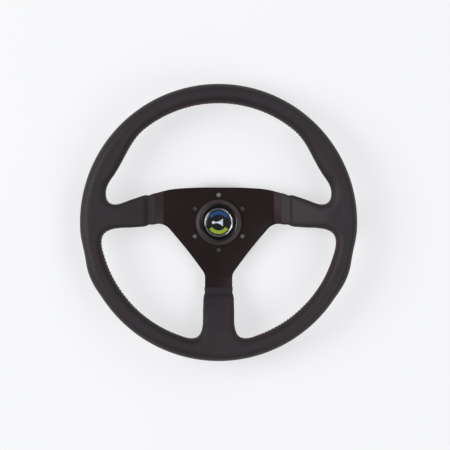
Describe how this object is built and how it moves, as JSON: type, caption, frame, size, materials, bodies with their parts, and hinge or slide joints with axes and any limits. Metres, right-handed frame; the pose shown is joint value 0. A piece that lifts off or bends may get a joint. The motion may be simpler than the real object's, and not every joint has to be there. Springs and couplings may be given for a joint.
{
  "type": "car steering wheel",
  "caption": "Round three-spoke sports steering wheel with a padded leather rim, dished metal spoke plate and a sprung horn button in the hub.",
  "frame": {"origin": "centre of the bolt circle on the spoke plate's rear mounting face", "axes": "+Z along the steering axis towards the driver, +Y to the rim's 12 o'clock, +X to the right as the driver sees it"},
  "size_m": [0.35, 0.35, 0.0554],
  "materials": {
    "anodised_plate": "black anodised, satin",
    "bare_aluminium": "plain",
    "foam": "moulded foam",
    "leather": "smooth black leather",
    "matte_black_plastic": "matte",
    "gloss_black_plastic": "gloss",
    "printed_metal": "printed",
    "clear_resin": "clear",
    "brass": "plain",
    "spring_steel": "drawn wire",
    "phenolic": "phenolic sheet",
    "tinned_brass": "tinned",
    "zinc_steel": "zinc plated"
  },
  "bodies": {
    "wheel": {"spoke_plate": "anodised_plate", "core_ring": "bare_aluminium", "left_spoke_rivets": "bare_aluminium", "right_spoke_rivets": "bare_aluminium", "bottom_spoke_rivets": "bare_aluminium", "rim_foam": "foam", "leather_cover": "leather", "horn_collar": "matte_black_plastic", "button_housing": "matte_black_plastic", "return_spring": "spring_steel", "spring_seat": "brass", "fixed_contact": "brass", "contact_base": "phenolic", "contact_rivets": "brass", "spring_terminal": "tinned_brass", "ring_terminal": "tinned_brass", "base_screws": "zinc_steel"},
    "button": {"button_cap": "gloss_black_plastic", "badge_disc": "printed_metal", "badge_dome": "clear_resin", "moving_contact": "brass"}
  },
  "joints": [
    {"name": "horn_press", "type": "slide", "parent": "wheel", "child": "button", "axis": [0, 0, -1], "range_m": [0, 0.0015], "stiffness_N_per_m": 2000, "springref_m": -0.001, "deforming": ["return_spring"]}
  ]
}
